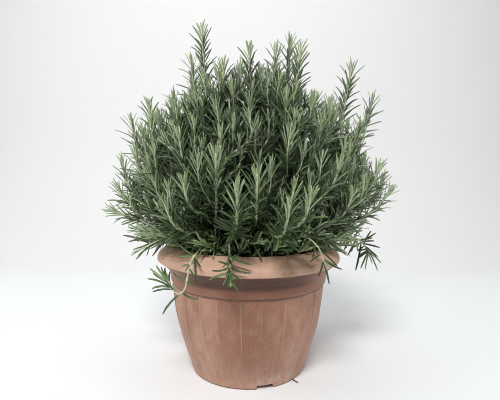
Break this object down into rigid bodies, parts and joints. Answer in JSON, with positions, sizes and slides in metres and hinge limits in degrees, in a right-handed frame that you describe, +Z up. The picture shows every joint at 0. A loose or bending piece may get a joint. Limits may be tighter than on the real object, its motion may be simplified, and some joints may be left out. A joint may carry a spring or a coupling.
{
  "type": "potted rosemary plant",
  "caption": "Bushy rosemary with upright needle-leaved shoots and trailing sprigs, growing in soil in a round fluted terracotta-coloured pot.",
  "frame": {"origin": "centre of the pot's foot, on the surface it stands on, which is also the middle of the crown's width and depth", "axes": "+Z up the pot's axis, -Y towards the front where a sprig hangs over the lip, +X to the right as seen from the front"},
  "size_m": [0.445, 0.394, 0.538],
  "materials": {
    "terracotta_plastic": "matt moulded terracotta colour, dusty, with pale mineral marks near the foot",
    "potting_soil": "dark damp loose soil, not really stone",
    "bark": "thin grey-brown bark",
    "foliage": "narrow leaves, dark green above and pale below, on light green young stems, not really paper"
  },
  "bodies": {
    "root": {"pot": "terracotta_plastic", "potting_soil": "potting_soil", "root_crown": "bark", "branch_01": "foliage", "branch_02": "foliage", "branch_03": "foliage", "branch_04": "foliage", "branch_05": "foliage", "branch_06": "foliage", "branch_07": "foliage", "branch_08": "foliage", "branch_09": "foliage", "branch_10": "foliage", "branch_11": "foliage", "shoot_01": "foliage", "shoot_02": "foliage", "shoot_03": "foliage", "shoot_04": "foliage", "shoot_05": "foliage", "shoot_06": "foliage", "shoot_07": "foliage", "shoot_08": "foliage", "shoot_09": "foliage", "shoot_10": "foliage", "shoot_11": "foliage", "shoot_12": "foliage", "shoot_13": "foliage", "shoot_14": "foliage", "shoot_15": "foliage", "shoot_16": "foliage", "shoot_17": "foliage", "shoot_18": "foliage", "shoot_19": "foliage", "shoot_20": "foliage", "shoot_21": "foliage", "shoot_22": "foliage", "shoot_23": "foliage", "shoot_24": "foliage", "shoot_25": "foliage", "shoot_26": "foliage", "shoot_27": "foliage", "shoot_28": "foliage", "shoot_29": "foliage", "shoot_30": "foliage", "shoot_31": "foliage", "shoot_32": "foliage", "shoot_33": "foliage", "shoot_34": "foliage", "shoot_35": "foliage", "shoot_36": "foliage", "sprig_01": "foliage", "sprig_02": "foliage", "sprig_03": "foliage", "sprig_04": "foliage", "sprig_05": "foliage", "sprig_06": "foliage", "sprig_07": "foliage", "stray_rootlet": "bark"}
  },
  "joints": []
}
